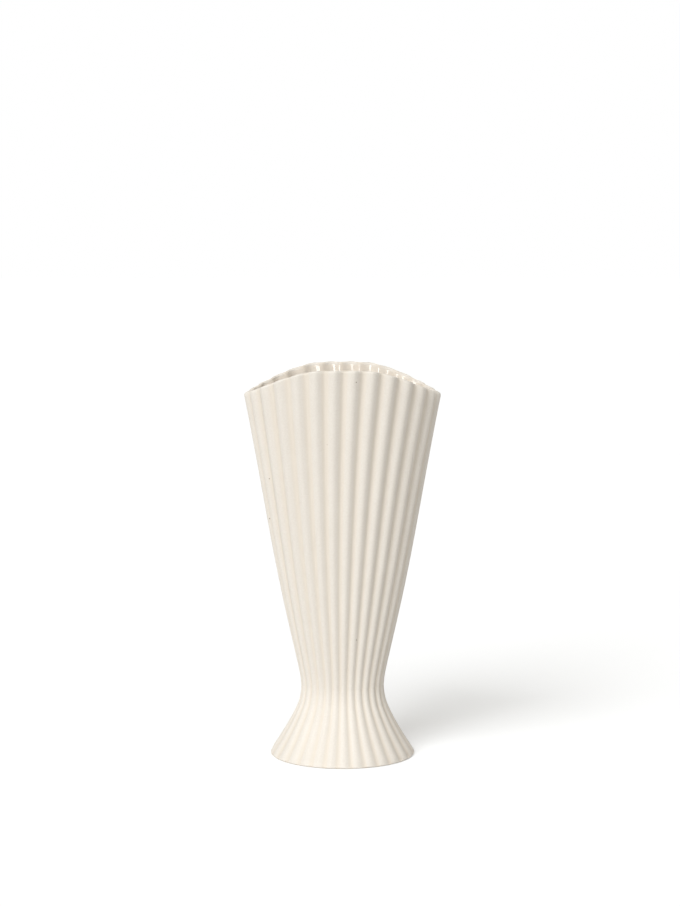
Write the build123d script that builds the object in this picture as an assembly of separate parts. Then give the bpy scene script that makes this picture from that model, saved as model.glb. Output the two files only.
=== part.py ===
from build123d import *
import math
import os

# Fluted fan vase of slip-cast stoneware, in millimetres.
# It stands on its foot ring, with the origin under its middle and +Z up.
# The fan is wide along X and narrower along Y, and its rim arches up in the middle.

# Overall form, over the crests of the ribs
HEIGHT = 300.0              # table to the middle of the arched rim
MOUTH_WIDTH = 159.6         # plan width of the fan where it would reach the full height
MOUTH_DEPTH = 121.0
WAIST_HEIGHT = 53.5         # table to the joint at the narrowest place
WAIST_WIDTH = 64.0
WAIST_DEPTH = 46.8
FOOT_DIAMETER = 111.1
RIM_DROP = 23.4             # how much lower the arch of the rim is at the ends of the mouth

# Ribs, which run from the foot ring to the rim
RIB_COUNT = 28
RIB_CROWDING = 0.068        # the ribs stand closer at the front and back than at the ends
RIB_DRIFT = 0.045           # and a little closer at the front than at the back
RIB_TURN = 0.09             # how many ribs the groove at the front stands off the middle
RIB_LEAN = 0.45             # how many ribs they turn from the rim down to the table
RIB_LEAN_CURVE = 1.6        # more than 1: they turn more in the upper part
RIB_SOFTNESS = 0.8          # 0 would make the grooves between the ribs sharp
MOUTH_RIB_DEPTH = 3.3
WAIST_RIB_DEPTH = 1.05
FOOT_RIB_DEPTH = 1.3
BORE_RIB_SHARE = 0.75       # how much of each rib also shows inside the cast wall

# Fired and glazed walls, measured level from the outer crests
WALL = 5.2                  # at the waist and above
FOOT_WALL = 7.4             # at the foot ring

# Joints of the castings
SLIP_JOINT = 0.8            # clay slip that joins two pieces
PLATE_RADIUS = 46.0
PLATE_THICKNESS = 5.0
PLATE_HEIGHT = 3.5          # table to the underside of the base plate

# Points of each rib in a section, levels of each casting, and the overrun of cuts
RIB_POINTS = 6
RIM_POINTS = 17
FAN_LEVELS = 8
FOOT_LEVELS = 7
OVERRUN = 20.0
LOW_ALIGN = (Align.CENTER, Align.CENTER, Align.MIN)

# The side outline of the fan, from the waist up: shares of its height and of its flare
FAN_SHARES = [
    (0.0, 0.0),
    (0.02, 0.009),
    (0.05, 0.037),
    (0.10, 0.093),
    (0.20, 0.210),
    (0.30, 0.322),
    (0.45, 0.474),
    (0.70, 0.707),
    (1.0, 1.0),
]

# The side outline of the foot, from the waist down: shares of its height and of its flare
FOOT_SHARES = [
    (0.0, 0.0),
    (0.06, 0.006),
    (0.12, 0.025),
    (0.20, 0.063),
    (0.30, 0.142),
    (0.50, 0.364),
    (0.70, 0.624),
    (0.88, 0.882),
    (0.95, 0.980),
    (1.0, 1.0),
]

# The arch of the rim, from its middle out: shares of the half width and of the drop
RIM_SHARES = [
    (0.0, 0.0),
    (0.13, 0.005),
    (0.26, 0.026),
    (0.38, 0.100),
    (0.49, 0.218),
    (0.58, 0.323),
    (0.70, 0.500),
    (0.83, 0.705),
    (1.0, 1.0),
]


def blend(low, high, share):
    return low + (high - low) * share


def flare_at(shares, place):
    """Smooth curve through a table of shares: the flare at a share of the height."""
    last = len(shares) - 2
    row = max(number for number in range(last + 1) if number == 0 or shares[number][0] <= place)
    (x0, y0), (x1, y1) = shares[row], shares[row + 1]
    before = shares[max(row - 1, 0)]
    after = shares[min(row + 2, last + 1)]
    span = x1 - x0
    slope0 = span * (y1 - before[1]) / (x1 - before[0])
    slope1 = span * (after[1] - y0) / (after[0] - x0)
    t = (place - x0) / span
    rise = y1 - y0
    return y0 + t * (slope0 + t * (3 * rise - 2 * slope0 - slope1 + t * (slope0 + slope1 - 2 * rise)))


def foot_level(height):
    """Size of the vase at a height below the waist joint."""
    flare = flare_at(FOOT_SHARES, 1 - height / (WAIST_HEIGHT - SLIP_JOINT / 2))
    return {
        "height": height,
        "half_width": blend(WAIST_WIDTH, FOOT_DIAMETER, flare) / 2,
        "half_depth": blend(WAIST_DEPTH, FOOT_DIAMETER, flare) / 2,
        "rib_depth": blend(WAIST_RIB_DEPTH, FOOT_RIB_DEPTH, flare),
        "wall": blend(WALL, FOOT_WALL, flare),
    }


def fan_level(height):
    """Size of the vase at a height above the waist joint."""
    low = WAIST_HEIGHT + SLIP_JOINT / 2
    flare = flare_at(FAN_SHARES, (height - low) / (HEIGHT - low))
    return {
        "height": height,
        "half_width": blend(WAIST_WIDTH, MOUTH_WIDTH, flare) / 2,
        "half_depth": blend(WAIST_DEPTH, MOUTH_DEPTH, flare) / 2,
        "rib_depth": blend(WAIST_RIB_DEPTH, MOUTH_RIB_DEPTH, flare),
        "wall": WALL,
    }


def lean_at(height):
    """How many ribs the pattern has turned at a height, counted from the rim down."""
    return RIB_LEAN * (1 - (height / HEIGHT) ** RIB_LEAN_CURVE)


def groove(turns):
    """Share of the rib depth that is cut away: 1 in a groove, at whole turns, and 0 on a crest."""
    crest = math.hypot(1, RIB_SOFTNESS) - RIB_SOFTNESS
    return 1 - (math.hypot(math.sin(math.pi * turns), RIB_SOFTNESS) - RIB_SOFTNESS) / crest


def outline_point(number, level, inset, rib_share):
    """Point of a ribbed oval at a level, moved in from the outer crests by the inset."""
    turn = math.tau * (number / RIB_POINTS + RIB_TURN - lean_at(level["height"])) / RIB_COUNT
    angle = turn + RIB_CROWDING * math.sin(2 * turn) - RIB_DRIFT * math.cos(turn)
    cut = inset + rib_share * level["rib_depth"] * groove(number / RIB_POINTS)
    across = math.cos(angle) / level["half_width"]
    along = math.sin(angle) / level["half_depth"]
    steepness = math.hypot(across, along)
    x = level["half_width"] * math.cos(angle) - cut * across / steepness
    y = level["half_depth"] * math.sin(angle) - cut * along / steepness
    return Vector(x, y, level["height"])


def section(level, inset, rib_share):
    """Closed ribbed oval: one curve from each crest through a groove to the next crest."""
    curves = []
    for rib in range(RIB_COUNT):
        first = rib * RIB_POINTS - RIB_POINTS // 2
        points = [outline_point(first + step, level, inset, rib_share) for step in range(-1, RIB_POINTS + 2)]
        tangents = [points[2] - points[0], points[-1] - points[-3]]
        curves.append(Edge.make_spline(points[1:-1], tangents=tangents))
    return Wire(curves)


def levels(level_at, low, high, count):
    """Evenly spaced levels of a casting between two heights."""
    return [level_at(blend(low, high, step / (count - 1))) for step in range(count)]


def outer_wall(rows):
    """Sections of the ribbed outside."""
    return [section(row, 0, 1) for row in rows]


def bore_wall(rows):
    """Sections of the cast bore, where the ribs show less deeply."""
    return [section(row, row["wall"], BORE_RIB_SHARE) for row in rows]


def skin(sections):
    """Faces through a stack of closed sections, without the flat ends."""
    return Solid.make_loft(sections).faces().filter_by(GeomType.PLANE, reverse=True)


def closed_solid(faces):
    """One solid from the faces that enclose it."""
    return Solid(Shell(faces))


def circle_at(radius, height):
    return Wire.make_circle(radius, Plane.XY.offset(height))


def rim_point(side):
    """Point of the rim's arch: side runs from -1 to 1 across the mouth."""
    return Vector(side * MOUTH_WIDTH / 2, 0, HEIGHT - RIM_DROP * flare_at(RIM_SHARES, abs(side)))


def below_rim():
    """Everything under the arched rim: the arch runs along Y."""
    arch = Edge.make_spline([rim_point(blend(-1, 1, step / (RIM_POINTS - 1))) for step in range(RIM_POINTS)])
    out = Vector(OVERRUN, 0, 0)
    down = Vector(0, 0, -HEIGHT)
    corners = [arch @ 1, arch @ 1 + out, arch @ 1 + out + down, arch @ 0 - out + down, arch @ 0 - out, arch @ 0]
    sides = [Edge.make_line(one, other) for one, other in zip(corners, corners[1:])]
    outline = Face(Wire([arch] + sides))
    return extrude(outline, amount=MOUTH_DEPTH / 2 + OVERRUN, dir=(0, 1, 0), both=True)


def make_fan():
    """Upper casting: a ribbed wall, open at the waist and under the arch of the rim."""
    rows = levels(fan_level, WAIST_HEIGHT + SLIP_JOINT / 2, HEIGHT, FAN_LEVELS)
    outside, bore = outer_wall(rows), bore_wall(rows)
    ends = [Face(outside[0], [bore[0]]), Face(outside[-1], [bore[-1]])]
    return closed_solid(skin(outside) + skin(bore) + ends) & below_rim()


def make_waist_slip():
    """Band of clay slip between the two castings, flush with both."""
    rows = [foot_level(WAIST_HEIGHT - SLIP_JOINT / 2), fan_level(WAIST_HEIGHT + SLIP_JOINT / 2)]
    outside, bore = outer_wall(rows), bore_wall(rows)
    ends = [Face(outside[0], [bore[0]]), Face(outside[-1], [bore[-1]])]
    return closed_solid(skin(outside) + skin(bore) + ends)


def make_foot():
    """Lower casting: a hollow ribbed foot, open above, with a round rebate for the base plate."""
    top = WAIST_HEIGHT - SLIP_JOINT / 2
    ledge = PLATE_HEIGHT + PLATE_THICKNESS
    outside = outer_wall(levels(foot_level, 0, top, FOOT_LEVELS))
    bore = bore_wall(levels(foot_level, ledge, top, FOOT_LEVELS))
    rebate = [circle_at(PLATE_RADIUS + SLIP_JOINT, height) for height in (0, ledge)]
    ends = [
        Face(outside[0], [rebate[0]]),
        Face(rebate[1], [bore[0]]),
        Face(outside[-1], [bore[-1]]),
    ]
    return closed_solid(skin(outside) + skin(bore) + skin(rebate) + ends)


def make_base_plate():
    """Flat disc that closes the foot from below, pushed up to the ledge of the rebate."""
    return Pos(0, 0, PLATE_HEIGHT) * Cylinder(PLATE_RADIUS, PLATE_THICKNESS, align=LOW_ALIGN)


def make_plate_slip():
    """Ring of clay slip round the edge of the base plate."""
    bed = Cylinder(PLATE_RADIUS + SLIP_JOINT, PLATE_THICKNESS, align=LOW_ALIGN)
    return Pos(0, 0, PLATE_HEIGHT) * bed - make_base_plate()


os.makedirs("parts", exist_ok=True)
export_step(make_fan(), "parts/fan_casting.step")
export_step(make_waist_slip(), "parts/waist_slip_joint.step")
export_step(make_foot(), "parts/foot_casting.step")
export_step(make_base_plate(), "parts/base_plate.step")
export_step(make_plate_slip(), "parts/plate_slip_joint.step")
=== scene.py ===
import math

import bpy
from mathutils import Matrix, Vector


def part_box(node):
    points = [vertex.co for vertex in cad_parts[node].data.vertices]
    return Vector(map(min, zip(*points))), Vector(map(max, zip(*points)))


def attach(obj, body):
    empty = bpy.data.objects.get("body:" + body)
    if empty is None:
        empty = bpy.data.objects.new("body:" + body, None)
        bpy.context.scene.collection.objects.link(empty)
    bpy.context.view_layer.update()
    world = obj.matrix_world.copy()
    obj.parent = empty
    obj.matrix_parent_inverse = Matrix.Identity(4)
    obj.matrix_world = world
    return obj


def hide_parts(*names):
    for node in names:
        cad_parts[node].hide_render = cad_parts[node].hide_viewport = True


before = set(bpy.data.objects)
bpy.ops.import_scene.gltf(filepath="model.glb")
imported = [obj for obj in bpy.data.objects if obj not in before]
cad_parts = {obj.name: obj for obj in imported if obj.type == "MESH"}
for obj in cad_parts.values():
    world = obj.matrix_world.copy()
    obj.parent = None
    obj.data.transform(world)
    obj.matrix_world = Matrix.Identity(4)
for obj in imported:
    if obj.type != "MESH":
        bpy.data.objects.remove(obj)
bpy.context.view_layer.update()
bpy.ops.object.select_all(action="DESELECT")

# Base plate and its slip joint
# A round slab of grey-brown stoneware closes the foot from below. It stays unglazed,
# and a ring of thin clay slip holds it against the ledge of the foot.


class Shade:
    """A value in a material. Sums of such values add their own nodes."""

    def __init__(self, tree, socket=None):
        self.tree = tree
        self.socket = socket

    def node(self, kind, settings=(), sockets=(), output=0):
        """Any node: its type, its settings, then the values or links of its sockets."""
        made = self.tree.nodes.new(kind)
        for name, value in dict(settings).items():
            setattr(made, name, value)
        for name, value in dict(sockets).items():
            if isinstance(value, Shade):
                self.tree.links.new(value.socket, made.inputs[name])
            else:
                made.inputs[name].default_value = value
        return Shade(self.tree, made.outputs[output] if made.outputs else None)

    def math(self, operation, *values):
        return self.node("ShaderNodeMath", {"operation": operation}, enumerate(values))

    def __add__(self, other):
        return self.math("ADD", self, other)

    def __mul__(self, other):
        return self.math("MULTIPLY", self, other)

    __radd__ = __add__
    __rmul__ = __mul__

    def noise(self, size, detail=2.0, roughness=0.5):
        """Cloudy noise round 0.5, with clouds about as large as size."""
        place = self.node("ShaderNodeTexCoord", output="Object")
        sockets = {"Vector": place, "Scale": 1 / size, "Detail": detail, "Roughness": roughness}
        return self.node("ShaderNodeTexNoise", sockets=sockets)

    def ramp(self, low, high):
        """0 where this value is at low, 1 where it is at high, and eased between them."""
        sockets = {"Value": self, "From Min": low, "From Max": high}
        return self.node("ShaderNodeMapRange", {"interpolation_type": "SMOOTHSTEP"}, sockets)

    def mix(self, low, high):
        """The colour low where this value is 0, and high where it is 1."""
        sockets = {0: self, 6: low, 7: high}
        return self.node("ShaderNodeMix", {"data_type": "RGBA"}, sockets, output=2)


def new_material(name):
    """An empty material, and the start of its sums."""
    material = bpy.data.materials.new(name)
    material.use_nodes = True
    material.node_tree.nodes.clear()
    return material, Shade(material.node_tree)


def finish_material(shade, colour, roughness, relief, relief_depth, **constants):
    """Ends a material in one glazed or bare surface, with a fine relief of a real depth."""
    bump = shade.node(
        "ShaderNodeBump", sockets={"Height": relief, "Strength": 1.0, "Distance": relief_depth}
    )
    sockets = {"Base Color": colour, "Roughness": roughness, "Normal": bump, **constants}
    surface = shade.node("ShaderNodeBsdfPrincipled", sockets=sockets)
    shade.node("ShaderNodeOutputMaterial", sockets={"Surface": surface})


BARE_CLAY = (0.58, 0.47, 0.36, 1)
BARE_CLAY_DARK = (0.47, 0.36, 0.26, 1)
BARE_CLAY_ROUGHNESS = 0.85
SAND_SIZE = 0.0006
SAND_RELIEF = 0.00012        # how far the grains stand out
CLAY_CLOUD_SIZE = 0.012


def make_bare_clay(name, pale_share):
    """Fired clay without glaze: sandy, a little uneven, and paler where slip was brushed on."""
    material, shade = new_material(name)
    grain = shade.noise(SAND_SIZE, detail=3)
    clouds = shade.noise(CLAY_CLOUD_SIZE)
    tone = (grain * 0.6 + clouds * 0.6).ramp(0.35, 0.85 - pale_share)
    colour = tone.mix(BARE_CLAY_DARK, BARE_CLAY)
    roughness = BARE_CLAY_ROUGHNESS + grain * 0.1
    finish_material(shade, colour, roughness, grain, SAND_RELIEF)
    return material


def dress(node, material):
    """A shape that the frame already has right keeps its mesh and gets a real finish."""
    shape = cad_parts[node]
    for slot in shape.material_slots:
        slot.material = material


dress("base_plate", make_bare_clay("bare_clay", pale_share=0.0))
dress("plate_slip_joint", make_bare_clay("clay_slip", pale_share=0.15))

# Foot casting
# The lower half of the vase, slip-cast in a plaster mould: a ribbed trumpet, open above,
# with a rebate below for the base plate. The glaze is wiped off the ring that it stands on.

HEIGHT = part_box("fan_casting")[1].z
FOOT_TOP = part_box("foot_casting")[1].z
FOOT_DIAMETER = 0.1111
WAIST_WIDTH = 0.0640
WAIST_DEPTH = 0.0468
WAIST_RIB_DEPTH = 0.00105
FOOT_RIB_DEPTH = 0.0013
FOOT_RIB_FADE = 0.0030       # the ribs sink into a plain band just above the table
WALL = 0.0052
FOOT_WALL = 0.0074
FOOT_EDGE_RADIUS = 0.0012
REBATE_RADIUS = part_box("plate_slip_joint")[1].x
LEDGE_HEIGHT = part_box("base_plate")[1].z

# Rings of points that each stretch of the foot is made of
FOOT_RINGS = 30
FOOT_EDGE_RINGS = 9
UNDERSIDE_SHARES = (0.5, 0.9, 1)
FOOT_BORE_RINGS = 24

# Ribs, which run on from the foot over the waist to the rim of the fan
RIB_COUNT = 28
RIB_POINTS = 16
RIB_CROWDING = 0.068         # the ribs stand closer at the front and back than at the ends
RIB_DRIFT = 0.045            # and a little closer at the front than at the back
RIB_TURN = 0.09              # how many ribs the groove at the front stands off the middle
RIB_LEAN = 0.45              # how many ribs they turn from the rim down to the table
RIB_LEAN_CURVE = 1.6         # more than 1: they turn more in the upper part
RIB_SOFTNESS = 0.8           # 0 would make the grooves between the ribs sharp
BORE_RIB_SHARE = 0.75        # how much of each rib also shows inside the cast wall
GROOVE_POINT_SHARE = 0.30    # how far the points of a ring draw together towards the grooves
POINTS_ROUND = RIB_COUNT * RIB_POINTS
WELD_DISTANCE = 1e-6
CREASE_DEGREES = 40          # corners sharper than this stay crisp

# The side outline of the foot, from the waist down: shares of its height and of its flare
FOOT_SHARES = [
    (0.0, 0.0), (0.06, 0.006), (0.12, 0.025), (0.20, 0.063), (0.30, 0.142),
    (0.50, 0.364), (0.70, 0.624), (0.88, 0.882), (0.95, 0.980), (1.0, 1.0),
]


def blend(low, high, share):
    return low + (high - low) * share


def steps(low, high, count):
    """Evenly spaced values from low to high, with both ends."""
    return [blend(low, high, number / (count - 1)) for number in range(count)]


def flare_at(shares, place):
    """Smooth curve through a table of shares: the flare at a share of the height."""
    last = len(shares) - 2
    row = max(number for number in range(last + 1) if number == 0 or shares[number][0] <= place)
    (x0, y0), (x1, y1) = shares[row], shares[row + 1]
    before = shares[max(row - 1, 0)]
    after = shares[min(row + 2, last + 1)]
    span = x1 - x0
    slope0 = span * (y1 - before[1]) / (x1 - before[0])
    slope1 = span * (after[1] - y0) / (after[0] - x0)
    t = (place - x0) / span
    rise = y1 - y0
    return y0 + t * (slope0 + t * (3 * rise - 2 * slope0 - slope1 + t * (slope0 + slope1 - 2 * rise)))


def groove(rib):
    """Share of the rib depth that is cut away: 1 in a groove, at whole ribs, and 0 on a crest."""
    crest = math.hypot(1, RIB_SOFTNESS) - RIB_SOFTNESS
    return 1 - (math.hypot(math.sin(math.pi * rib), RIB_SOFTNESS) - RIB_SOFTNESS) / crest


def rib_places():
    """Places round the vase, counted in ribs, closer together in the grooves."""
    even = [number / RIB_POINTS for number in range(POINTS_ROUND)]
    return [place - GROOVE_POINT_SHARE * math.sin(math.tau * place) / math.tau for place in even]


def rib_angle(rib, height):
    """Angle round the vase of a place counted in ribs, which turns a little with the height."""
    lean = RIB_LEAN * (1 - (max(height, 0) / HEIGHT) ** RIB_LEAN_CURVE)
    turn = math.tau * (rib + RIB_TURN - lean) / RIB_COUNT
    return turn + RIB_CROWDING * math.sin(2 * turn) - RIB_DRIFT * math.cos(turn)


def wall_point(rib, size, height, across):
    """Plan place on the wall: across is 0 on the outside and 1 in the bore."""
    half_width, half_depth, rib_depth, wall = size
    angle = rib_angle(rib, height)
    rib_share = 1 - across * (1 - BORE_RIB_SHARE)
    cut = across * wall + rib_share * rib_depth * groove(rib)
    to_side = math.cos(angle) / half_width
    to_back = math.sin(angle) / half_depth
    steepness = math.hypot(to_side, to_back)
    x = half_width * math.cos(angle) - cut * to_side / steepness
    y = half_depth * math.sin(angle) - cut * to_back / steepness
    return x, y


def foot_size(height):
    """Half width, half depth, rib depth and wall of the foot at a height."""
    flare = flare_at(FOOT_SHARES, 1 - height / FOOT_TOP)
    half_width = blend(WAIST_WIDTH, FOOT_DIAMETER, flare) / 2
    half_depth = blend(WAIST_DEPTH, FOOT_DIAMETER, flare) / 2
    rib_depth = blend(WAIST_RIB_DEPTH, FOOT_RIB_DEPTH, flare) * min(1, height / FOOT_RIB_FADE) ** 0.5
    return half_width, half_depth, rib_depth, blend(WALL, FOOT_WALL, flare)


def foot_point(rib, height, across):
    x, y = wall_point(rib, foot_size(height), height, across)
    return x, y, height


def circle_point(rib, radius, height):
    angle = rib_angle(rib, height)
    return radius * math.cos(angle), radius * math.sin(angle), height


def between(one, other, share):
    return tuple(blend(a, b, share) for a, b in zip(one, other))


def raise_tube(name, rings):
    """A tube of as many rings as are given, each ring's points then moved to their places.
    rings holds a function per ring, from a place in ribs to a point, and its bare share."""
    places = rib_places()
    bpy.ops.mesh.primitive_circle_add(vertices=POINTS_ROUND, radius=1)
    tube = bpy.context.object
    tube.name = tube.data.name = name
    bpy.ops.object.mode_set(mode="EDIT")
    bpy.ops.mesh.select_all(action="SELECT")
    for _ in rings[1:]:
        bpy.ops.mesh.extrude_region_move(TRANSFORM_OT_translate={"value": (0, 0, 1)})
    bpy.ops.object.mode_set(mode="OBJECT")
    grooves = tube.data.attributes.new("groove", "FLOAT", "POINT")
    bares = tube.data.attributes.new("bare", "FLOAT", "POINT")
    for vertex in tube.data.vertices:
        point_at, bare = rings[round(vertex.co.z)]
        turn = math.atan2(vertex.co.y, vertex.co.x) / math.tau
        place = places[round(turn * POINTS_ROUND) % POINTS_ROUND]
        grooves.data[vertex.index].value = groove(place)
        bares.data[vertex.index].value = bare
        vertex.co = point_at(place)
    return tube


def close_and_smooth(tube):
    """Welds the seams and poles, turns the faces outwards and leaves only real corners sharp."""
    bpy.ops.object.mode_set(mode="EDIT")
    bpy.ops.mesh.select_all(action="SELECT")
    bpy.ops.mesh.remove_doubles(threshold=WELD_DISTANCE)
    bpy.ops.mesh.delete_loose()
    bpy.ops.mesh.select_all(action="SELECT")
    bpy.ops.mesh.normals_make_consistent(inside=False)
    bpy.ops.object.mode_set(mode="OBJECT")
    bpy.ops.object.shade_smooth_by_angle(angle=math.radians(CREASE_DEGREES))
    tube.select_set(False)
    return tube


def foot_rings():
    """From the waist down the outside, round the ring it stands on, and up the rebate and the bore."""
    edge = FOOT_EDGE_RADIUS
    rings = []
    for height in steps(FOOT_TOP, edge, FOOT_RINGS):
        rings.append((lambda rib, h=height: foot_point(rib, h, 0), 0))
    for turn in steps(0, math.pi / 2, FOOT_EDGE_RINGS)[1:]:
        inset = edge * (1 - math.cos(turn)) / FOOT_WALL
        height = edge * (1 - math.sin(turn))
        bare = math.sin(turn)
        rings.append((lambda rib, h=height, i=inset: foot_point(rib, 0, i)[:2] + (h,), bare))
    for share in UNDERSIDE_SHARES:
        def underside(rib, share=share):
            outer = foot_point(rib, 0, edge / FOOT_WALL)
            return between(outer, circle_point(rib, REBATE_RADIUS, 0), share)
        rings.append((underside, 1))
    rings.append((lambda rib: circle_point(rib, REBATE_RADIUS, LEDGE_HEIGHT), 1))
    for height in steps(LEDGE_HEIGHT, FOOT_TOP, FOOT_BORE_RINGS):
        rings.append((lambda rib, h=height: foot_point(rib, h, 1), 1))
    rings.append(rings[0])
    return rings


GLAZE = (0.778, 0.736, 0.672, 1)
GLAZE_PALE = (0.822, 0.786, 0.728, 1)
# Colour of the grooves: partly the deeper tone of pooled glaze, partly painted shade
GLAZE_POOL_AND_SHADE = (0.765, 0.69, 0.585, 1)
GLAZE_SPECK = (0.30, 0.24, 0.18, 1)
GLAZE_ROUGHNESS = 0.56
GLAZE_GRAIN_SIZE = 0.0012
GLAZE_CLOUD_SIZE = 0.018
GLAZE_RELIEF = 0.00004       # how far the fine grain of the glaze stands out
POOL_AND_SHADE_SHARE = 0.5           # how much of the darker colour the grooves take: partly pooled glaze, partly painted shade
SPECK_SPACING = 0.011
SPECK_RADIUS_SHARE = 0.06    # radius of a speck as a share of that spacing
SPECK_RARITY = 0.90          # share of the places for a speck that stay without one
WIPE_WAVE_SIZE = 0.003       # waves of the line where the glaze was wiped off the foot


def make_matt_glaze():
    """Eggshell glaze: fine-grained, darker and warmer in the grooves, partly from pooled glaze and
    partly as painted shade, with rare iron specks.
    """
    material, shade = new_material("matt_glaze")
    grain = shade.noise(GLAZE_GRAIN_SIZE, detail=3, roughness=0.7)
    clouds = shade.noise(GLAZE_CLOUD_SIZE)
    pool_and_shade_mask = shade.node("ShaderNodeAttribute", {"attribute_name": "groove"}, output="Fac")
    bare = shade.node("ShaderNodeAttribute", {"attribute_name": "bare"}, output="Fac")
    colour = (grain * 0.8 + clouds * 0.2).ramp(0.30, 0.70).mix(GLAZE, GLAZE_PALE)
    # Darkens and warms the grooves: partly pooled glaze, partly painted shade between the ribs
    colour = (pool_and_shade_mask.ramp(0.35, 1.0) * POOL_AND_SHADE_SHARE).mix(colour, GLAZE_POOL_AND_SHADE)

    place = shade.node("ShaderNodeTexCoord", output="Object")
    cell = {"Vector": place, "Scale": 1 / SPECK_SPACING}
    distance = shade.node("ShaderNodeTexVoronoi", sockets=cell)
    chance = shade.node("ShaderNodeTexVoronoi", sockets=cell, output="Color")
    red = shade.node("ShaderNodeSeparateColor", sockets={"Color": chance})
    rare = red.ramp(SPECK_RARITY, SPECK_RARITY + 0.01)
    speck = distance.ramp(SPECK_RADIUS_SHARE, SPECK_RADIUS_SHARE / 2) * rare
    colour = speck.mix(colour, GLAZE_SPECK)

    edge_of_glaze = (bare + shade.noise(WIPE_WAVE_SIZE, detail=3) * 0.8).ramp(1.32, 1.40)
    colour = edge_of_glaze.mix(colour, BARE_CLAY)
    roughness = GLAZE_ROUGHNESS + grain * 0.08 + edge_of_glaze * 0.25
    finish_material(shade, colour, roughness, grain, GLAZE_RELIEF)
    return material


matt_glaze = make_matt_glaze()

foot = close_and_smooth(raise_tube("foot_casting_glazed", foot_rings()))
foot.data.materials.append(matt_glaze)
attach(foot, "root")
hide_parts("foot_casting")

# Fan casting
# The upper half: a ribbed oval wall that fans out from the waist to the arched mouth.
# Its rim is trimmed to an arch, flat in the middle and steeper towards both ends, and sponged
# soft before firing, which lowers it a hair in the grooves.

FAN_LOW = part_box("fan_casting")[0].z
MOUTH_WIDTH = 0.1596
MOUTH_DEPTH = 0.1210
MOUTH_RIB_DEPTH = 0.0033
RIM_DROP = 0.0234            # how much lower the arch of the rim is at the ends of the mouth
RIM_DIP = 0.0004             # and how much lower it is in each groove than on the ribs
LIP_RADIUS = 0.0020
LIP_SQUARENESS = 0.75        # 1 would be fully round
RIM_ROUNDS = 6               # tries that settle how high the rim is over a place on the wall

# Rings of points that each stretch of the fan is made of
FAN_RINGS = 52
LIP_RINGS = 15
FAN_BORE_RINGS = 40

# The side outline of the fan, from the waist up: shares of its height and of its flare
FAN_SHARES = [
    (0.0, 0.0), (0.02, 0.009), (0.05, 0.037), (0.10, 0.093), (0.20, 0.210),
    (0.30, 0.322), (0.45, 0.474), (0.70, 0.707), (1.0, 1.0),
]

# The arch of the rim, from its middle out: shares of the half width and of the drop
RIM_SHARES = [
    (0.0, 0.0), (0.13, 0.005), (0.26, 0.026), (0.38, 0.100), (0.49, 0.218),
    (0.58, 0.323), (0.70, 0.500), (0.83, 0.705), (1.0, 1.0),
]


def fan_size(height):
    """Half width, half depth, rib depth and wall of the fan at a height."""
    flare = flare_at(FAN_SHARES, (height - FAN_LOW) / (HEIGHT - FAN_LOW))
    half_width = blend(WAIST_WIDTH, MOUTH_WIDTH, flare) / 2
    half_depth = blend(WAIST_DEPTH, MOUTH_DEPTH, flare) / 2
    return half_width, half_depth, blend(WAIST_RIB_DEPTH, MOUTH_RIB_DEPTH, flare), WALL


def rim_height(x):
    """Height of the arched rim at a place along the width."""
    return HEIGHT - RIM_DROP * flare_at(RIM_SHARES, 2 * abs(x) / MOUTH_WIDTH)


def fan_point(rib, share, below_rim, across):
    """Point at a share of the way from the waist to a line a little below the rim."""
    height = HEIGHT
    for _ in range(RIM_ROUNDS):
        x, y = wall_point(rib, fan_size(height), height, across)
        height = blend(FAN_LOW, rim_height(x) - RIM_DIP * groove(rib) - below_rim, share)
    return x, y, height


def lip_place(turn):
    """How far below the rim and across the wall the lip is, from 0 outside to pi inside."""
    lift = math.sin(turn) ** LIP_SQUARENESS if 0 < turn < math.pi else 0
    side = math.copysign(abs(math.cos(turn)) ** LIP_SQUARENESS, math.cos(turn))
    return LIP_RADIUS * (1 - lift), (1 - side) / 2


def fan_rings():
    """From the waist up the outside, over the lip and down the bore."""
    rings = []
    for share in steps(0, 1, FAN_RINGS):
        rings.append((lambda rib, s=share: fan_point(rib, s, LIP_RADIUS, 0), 0))
    for turn in steps(0, math.pi, LIP_RINGS)[1:-1]:
        below, across = lip_place(turn)
        rings.append((lambda rib, b=below, a=across: fan_point(rib, 1, b, a), 0))
    for share in steps(1, 0, FAN_BORE_RINGS):
        rings.append((lambda rib, s=share: fan_point(rib, s, LIP_RADIUS, 1), 0))
    rings.append(rings[0])
    return rings


fan = close_and_smooth(raise_tube("fan_casting_glazed", fan_rings()))
fan.data.materials.append(matt_glaze)
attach(fan, "root")
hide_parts("fan_casting")

# Waist joint
# A thin band of clay slip joins foot and fan at the narrowest place. The glaze runs over it,
# and only a faint line round the waist still shows it.

JOINT_RECESS = 0.00012       # how far the slip has shrunk back from the surface


def waist_rings():
    """A short band, sunk a hair below both castings."""
    recess = JOINT_RECESS / WALL
    rings = [
        (lambda rib: foot_point(rib, FOOT_TOP, recess), 0),
        (lambda rib: fan_point(rib, 0, 0, recess), 0),
        (lambda rib: fan_point(rib, 0, 0, 1), 0),
        (lambda rib: foot_point(rib, FOOT_TOP, 1), 0),
    ]
    rings.append(rings[0])
    return rings


waist = close_and_smooth(raise_tube("waist_joint_glazed", waist_rings()))
waist.data.materials.append(matt_glaze)
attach(waist, "root")
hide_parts("waist_slip_joint")

# Inner glaze
# The inside is lined with a clear glossy glaze so that the vase holds water. It starts just
# below the lip, runs down the ribbed bore and pools a little where it meets the base plate.

FILM = 0.00025               # thickness of the glaze
FILM_BITE = 0.00005          # how far it bites into the clay
FILM_START = 0.0022          # rim to the upper edge of the glaze
FILM_TAPER = 0.0012          # from that edge down to its full thickness
FILM_TOP_SHARE = 0.985       # share of the fan's height up to which it keeps that thickness
POOL_RADIUS = 0.0030

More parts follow.
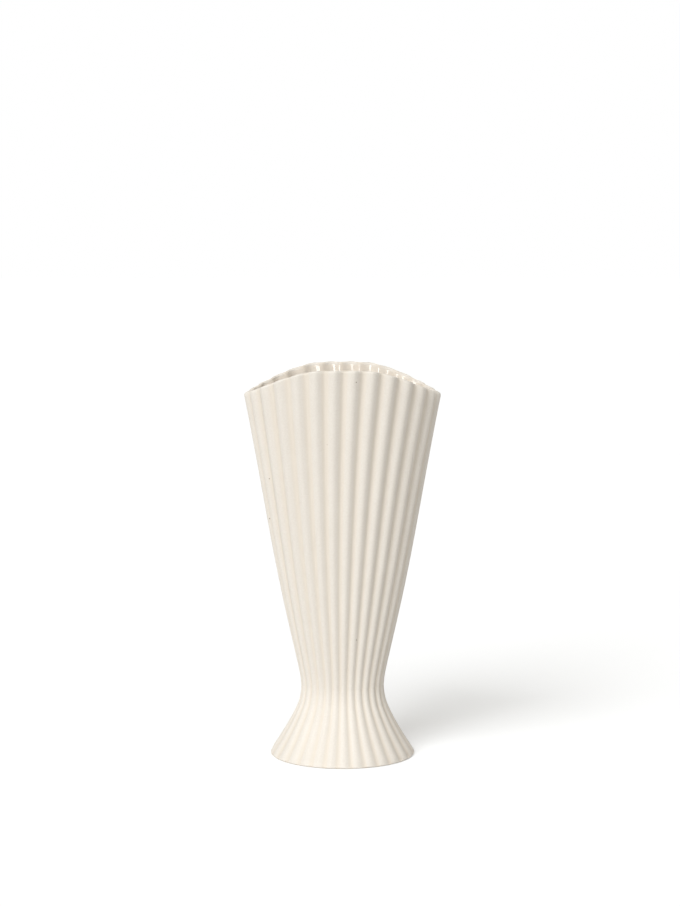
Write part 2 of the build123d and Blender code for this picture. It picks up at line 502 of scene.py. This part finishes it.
# Rings of points on the shining side, then on the back of the glaze
FILM_FAN_RINGS = 40
FILM_FOOT_RINGS = 16
POOL_RINGS = 6
FLOOR_SHARES = (0.25, 0.5, 0.75, 1)
BACK_FLOOR_SHARES = (1, 0.5, 0)
BACK_FOOT_RINGS = 12
BACK_FAN_RINGS = 24


def film_front():
    """Rings of the shining surface, from under the lip down to the middle of the floor."""
    across = 1 + FILM / WALL
    rings = [(lambda rib: fan_point(rib, 1, FILM_START, 1 - FILM_BITE / WALL), 0)]
    rings.append((lambda rib: fan_point(rib, 1, FILM_START + FILM_TAPER, across), 0))
    for share in steps(FILM_TOP_SHARE, 0, FILM_FAN_RINGS):
        rings.append((lambda rib, s=share: fan_point(rib, s, 0, across), 0))
    low = LEDGE_HEIGHT + FILM + POOL_RADIUS
    for height in steps(FOOT_TOP, low, FILM_FOOT_RINGS):
        rings.append((lambda rib, h=height: foot_point(rib, h, across), 0))
    for turn in steps(0, math.pi / 2, POOL_RINGS)[1:]:
        inset = across + POOL_RADIUS * (1 - math.cos(turn)) / FOOT_WALL
        height = low - POOL_RADIUS * math.sin(turn)
        rings.append((lambda rib, h=height, i=inset: foot_point(rib, low, i)[:2] + (h,), 0))
    floor_edge = rings[-1][0]
    middle = (0, 0, LEDGE_HEIGHT + FILM)
    for share in FLOOR_SHARES:
        rings.append((lambda rib, s=share: between(floor_edge(rib), middle, s), 0))
    return rings


def film_back():
    """Rings of the side that bites into the clay, from the middle of the floor up to the lip."""
    across = 1 - FILM_BITE / WALL
    floor_height = LEDGE_HEIGHT - FILM_BITE
    middle = (0, 0, floor_height)
    rings = []
    for share in BACK_FLOOR_SHARES:
        rings.append((lambda rib, s=share: between(foot_point(rib, floor_height, across), middle, s), 0))
    for height in steps(floor_height, FOOT_TOP, BACK_FOOT_RINGS)[1:]:
        rings.append((lambda rib, h=height: foot_point(rib, h, across), 0))
    for share in steps(0, FILM_TOP_SHARE, BACK_FAN_RINGS):
        rings.append((lambda rib, s=share: fan_point(rib, s, 0, across), 0))
    return rings


INNER_GLAZE = (0.79, 0.72, 0.63, 1)
INNER_GLAZE_PALE = (0.83, 0.77, 0.68, 1)
INNER_GLAZE_IOR = 1.7        # a glaze rich in flux, which shines more than window glass
INNER_CLOUD_SIZE = 0.014
PEEL_SIZE = 0.004            # waves of the orange-peel surface, and their height
PEEL_RELIEF = 0.00003


def make_gloss_glaze():
    """Wet-looking glaze with a faint orange-peel surface and soft clouds of colour."""
    material, shade = new_material("gloss_glaze")
    clouds = shade.noise(INNER_CLOUD_SIZE)
    peel = shade.noise(PEEL_SIZE, detail=1)
    colour = clouds.ramp(0.35, 0.65).mix(INNER_GLAZE, INNER_GLAZE_PALE)
    roughness = 0.06 + clouds * 0.04
    finish_material(shade, colour, roughness, peel, PEEL_RELIEF, IOR=INNER_GLAZE_IOR)
    return material


lining_rings = film_front() + film_back()
lining_rings.append(lining_rings[0])
lining = close_and_smooth(raise_tube("inner_glaze", lining_rings))
lining.data.materials.append(make_gloss_glaze())
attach(lining, "root")

# Studio
# A white floor in a white room. A large soft light stands high on the left in front, and a low
# one under it draws the bright lines on the inner glaze. A weak one overhead and a warm even
# fill open the shadows. The camera is a little above the rim, straight in front.

FLOOR_SIZE = 30
FLOOR_COLOUR = (0.80, 0.80, 0.80, 1)
FLOOR_SEEN_COLOUR = (0.93, 0.955, 0.98, 1)   # cool enough to look white under the warm fill
FLOOR_SEEN_GLOW = 0.205
FILL_STRENGTH = 0.39
FILL_COLOUR = (1.0, 0.95, 0.87, 1)

# Each light: degrees to the side of the camera, below zero on the left, then the degrees it
# stands above level, the degrees it is wide, and its strength
LIGHTS = {
    "key_light": (-30, 42, 36, 1.74),
    "strip_light": (-30, 13, 18, 0.40),
    "overhead_light": (0, 88, 80, 0.32),
}


def seen_directly(shade):
    """1 for the camera's own rays and for what mirrors and glass show, and 0 for lighting."""
    kinds = ("Camera", "Glossy", "Transmission")
    rays = [shade.node("ShaderNodeLightPath", output=f"Is {kind} Ray") for kind in kinds]
    return shade.math("MAXIMUM", rays[0], shade.math("MAXIMUM", rays[1], rays[2]))


bpy.ops.mesh.primitive_plane_add(size=FLOOR_SIZE)
floor = bpy.context.object
floor.name = "floor"
floor_material, shade = new_material("white_floor")
colour = seen_directly(shade).mix(FLOOR_COLOUR, FLOOR_SEEN_COLOUR)
paper = shade.node("ShaderNodeBsdfDiffuse", sockets={"Color": colour})
glow = shade.node("ShaderNodeEmission", sockets={"Strength": seen_directly(shade) * FLOOR_SEEN_GLOW})
lit = shade.node("ShaderNodeAddShader", sockets={0: paper, 1: glow})
shade.node("ShaderNodeOutputMaterial", sockets={"Surface": lit})
floor.data.materials.append(floor_material)

world = bpy.data.worlds.new("studio")
bpy.context.scene.world = world
world.use_nodes = True
world.node_tree.nodes.clear()
shade = Shade(world.node_tree)
strength = seen_directly(shade) * (1 - FILL_STRENGTH) + FILL_STRENGTH
colour = seen_directly(shade).mix(FILL_COLOUR, (1, 1, 1, 1))
sky = shade.node("ShaderNodeBackground", sockets={"Color": colour, "Strength": strength})
shade.node("ShaderNodeOutputWorld", sockets={"Surface": sky})

for name, (side, elevation, softness, light_strength) in LIGHTS.items():
    bpy.ops.object.light_add(type="SUN")
    light = bpy.context.object
    light.name = name
    light.data.angle = math.radians(softness)
    light.data.energy = light_strength
    light.rotation_euler = (math.radians(90 - elevation), 0, math.radians(side))

CAMERA_PLACE = (-0.0019, -1.700, 0.4081)
CAMERA_PITCH = 5.876         # degrees below level
CAMERA_LENS = 88.75
CAMERA_SENSOR = 36

bpy.ops.object.camera_add(location=CAMERA_PLACE, rotation=(math.radians(90 - CAMERA_PITCH), 0, 0))
camera = bpy.context.object
camera.name = "camera"
camera.data.lens = CAMERA_LENS
camera.data.sensor_width = CAMERA_SENSOR
bpy.context.scene.camera = camera

bpy.context.scene.view_settings.view_transform = "Standard"
